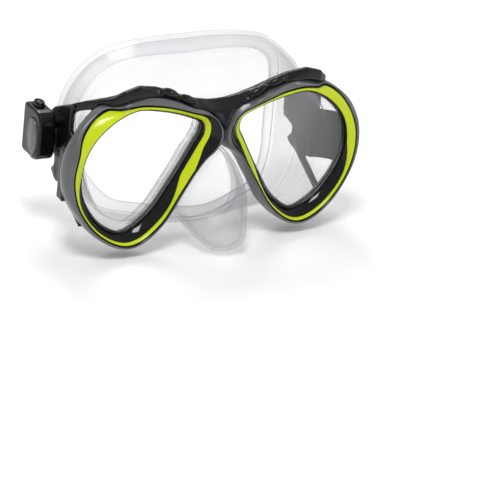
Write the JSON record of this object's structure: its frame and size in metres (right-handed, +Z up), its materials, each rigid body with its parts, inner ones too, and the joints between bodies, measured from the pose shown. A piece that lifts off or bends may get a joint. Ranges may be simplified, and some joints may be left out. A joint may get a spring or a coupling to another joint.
{
  "type": "diving mask",
  "caption": "Two-lens low-volume diving mask with a clear face skirt and nose pocket, coloured lens trims and a swivelling push-button strap buckle on each side.",
  "frame": {"origin": "midway between the centres of the two lens openings, on the front edge of the openings", "axes": "+X towards the wearer's left, +Y back towards the face, +Z up; the lenses face -Y"},
  "size_m": [0.1638, 0.0717, 0.0907],
  "materials": {
    "clear_silicone": "clear glossy silicone",
    "black_satin": "black polycarbonate, satin to gloss",
    "gunmetal": "metallic grey lacquer on polycarbonate",
    "black_gloss": "polished black",
    "lime_gloss": "glossy lime green",
    "tempered_glass": "clear tempered glass",
    "steel": "stainless"
  },
  "bodies": {
    "mask": {"skirt": "clear_silicone", "main_frame": "black_satin", "front_bezel": "gunmetal", "left_lens": "tempered_glass", "left_lens_retainer": "black_gloss", "left_lime_insert": "lime_gloss", "left_swivel_mount": "black_satin", "left_pivot_pin": "steel", "right_lens": "tempered_glass", "right_lens_retainer": "black_gloss", "right_lime_insert": "lime_gloss", "right_swivel_mount": "black_satin", "right_pivot_pin": "steel"},
    "left_buckle": {"left_buckle_body": "black_satin", "left_cover_disc": "gunmetal", "left_button_spring": "steel", "left_roller_pin": "steel"},
    "left_upper_button": {"left_upper_button": "black_gloss"},
    "left_lower_button": {"left_lower_button": "black_gloss"},
    "left_strap_roller": {"left_strap_roller": "black_satin"},
    "left_strap_pawl": {"left_strap_pawl": "black_satin"},
    "right_buckle": {"right_buckle_body": "black_satin", "right_cover_disc": "gunmetal", "right_button_spring": "steel", "right_roller_pin": "steel"},
    "right_upper_button": {"right_upper_button": "black_gloss"},
    "right_lower_button": {"right_lower_button": "black_gloss"},
    "right_strap_roller": {"right_strap_roller": "black_satin"},
    "right_strap_pawl": {"right_strap_pawl": "black_satin"}
  },
  "joints": [
    {"name": "left_buckle_swivel", "type": "hinge", "parent": "mask", "child": "left_buckle", "pos_m": [0.0682, 0.0395, -0.0044], "axis": [0.9976, 0.0698, 0], "range_deg": [-25, 25]},
    {"name": "left_upper_button_press", "type": "slide", "parent": "left_buckle", "child": "left_upper_button", "axis": [0, 0, -1], "range_m": [0, 0.0008], "stiffness_N_per_m": 900, "springref_m": -0.0015, "deforming": ["left_button_spring"]},
    {"name": "left_lower_button_press", "type": "slide", "parent": "left_buckle", "child": "left_lower_button", "axis": [0, 0, 1], "range_m": [0, 0.0008]},
    {"name": "left_strap_pawl_turn", "type": "hinge", "parent": "left_buckle", "child": "left_strap_pawl", "pos_m": [0.07242, 0.04791, -0.0028], "axis": [0, 0, 1], "range_deg": [0, 4.6]},
    {"name": "left_strap_roller_spin", "type": "hinge", "parent": "left_buckle", "child": "left_strap_roller", "pos_m": [0.07446, 0.05036, -0.0028], "axis": [0, 0, 1], "continuous": true},
    {"name": "right_buckle_swivel", "type": "hinge", "parent": "mask", "child": "right_buckle", "pos_m": [-0.0682, 0.0395, -0.0044], "axis": [0.9976, -0.0698, 0], "range_deg": [-25, 25]},
    {"name": "right_upper_button_press", "type": "slide", "parent": "right_buckle", "child": "right_upper_button", "axis": [0, 0, -1], "range_m": [0, 0.0008], "stiffness_N_per_m": 900, "springref_m": -0.0015, "deforming": ["right_button_spring"]},
    {"name": "right_lower_button_press", "type": "slide", "parent": "right_buckle", "child": "right_lower_button", "axis": [0, 0, 1], "range_m": [0, 0.0008]},
    {"name": "right_strap_pawl_turn", "type": "hinge", "parent": "right_buckle", "child": "right_strap_pawl", "pos_m": [-0.07242, 0.04791, -0.0028], "axis": [0, 0, -1], "range_deg": [0, 4.6]},
    {"name": "right_strap_roller_spin", "type": "hinge", "parent": "right_buckle", "child": "right_strap_roller", "pos_m": [-0.07446, 0.05036, -0.0028], "axis": [0, 0, 1], "continuous": true}
  ],
  "couplings": [
    {"joint": "left_lower_button_press", "follows": "left_upper_button_press", "ratio": 1},
    {"joint": "left_strap_pawl_turn", "follows": "left_upper_button_press", "rad_per_m": 98},
    {"joint": "right_lower_button_press", "follows": "right_upper_button_press", "ratio": 1},
    {"joint": "right_strap_pawl_turn", "follows": "right_upper_button_press", "rad_per_m": 98}
  ]
}
